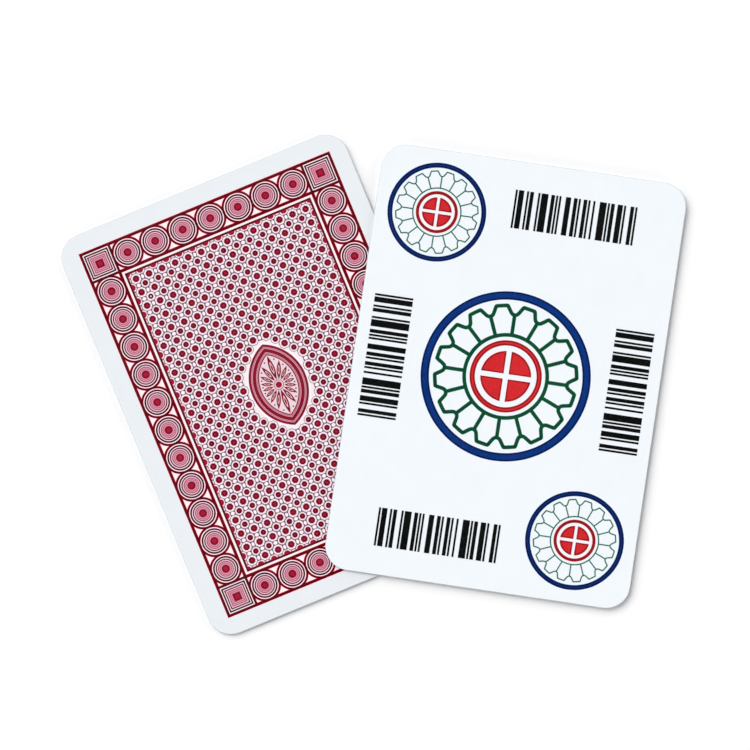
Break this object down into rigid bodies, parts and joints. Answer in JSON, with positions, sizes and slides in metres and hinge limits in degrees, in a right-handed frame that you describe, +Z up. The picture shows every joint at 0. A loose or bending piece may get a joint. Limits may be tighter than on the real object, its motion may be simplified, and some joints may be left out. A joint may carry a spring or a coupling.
{
  "type": "fanned playing cards",
  "caption": "Poker-size playing cards at the start of a fan, one face down with a roundel border and one face up with ringed petal figures and bar blocks.",
  "frame": {"origin": "on the table, under the middle of the box around the two cards", "axes": "+X to the right across the fan, +Y away from the player, +Z up from the table"},
  "size_m": [0.1278, 0.1024, 0.0007],
  "materials": {
    "coated_paper": "satin varnish",
    "glue_core": "matte",
    "blue_ink": "satin varnish",
    "green_ink": "satin varnish",
    "red_ink": "satin varnish",
    "black_ink": "satin varnish",
    "crimson_ink": "satin varnish"
  },
  "bodies": {
    "face_down_card": {"face_down_card_face_ply": "coated_paper", "face_down_card_core": "glue_core", "face_down_card_back_ply": "coated_paper", "face_down_card_ring_ink": "blue_ink", "face_down_card_petal_ink": "green_ink", "face_down_card_wheel_ink": "red_ink", "face_down_card_bar_ink": "black_ink", "face_down_card_frame_ink": "crimson_ink", "face_down_card_roundel_ink": "crimson_ink", "face_down_card_field_ink": "crimson_ink", "face_down_card_medallion_ink": "crimson_ink"},
    "face_up_card": {"face_up_card_face_ply": "coated_paper", "face_up_card_core": "glue_core", "face_up_card_back_ply": "coated_paper", "face_up_card_ring_ink": "blue_ink", "face_up_card_petal_ink": "green_ink", "face_up_card_wheel_ink": "red_ink", "face_up_card_bar_ink": "black_ink", "face_up_card_frame_ink": "crimson_ink", "face_up_card_roundel_ink": "crimson_ink", "face_up_card_field_ink": "crimson_ink", "face_up_card_medallion_ink": "crimson_ink"}
  },
  "joints": [
    {"name": "fan", "type": "hinge", "parent": "face_down_card", "child": "face_up_card", "pos_m": [0.00673, -0.08379, 0], "axis": [0, 0, 1], "range_deg": [-25, 30.8]}
  ]
}
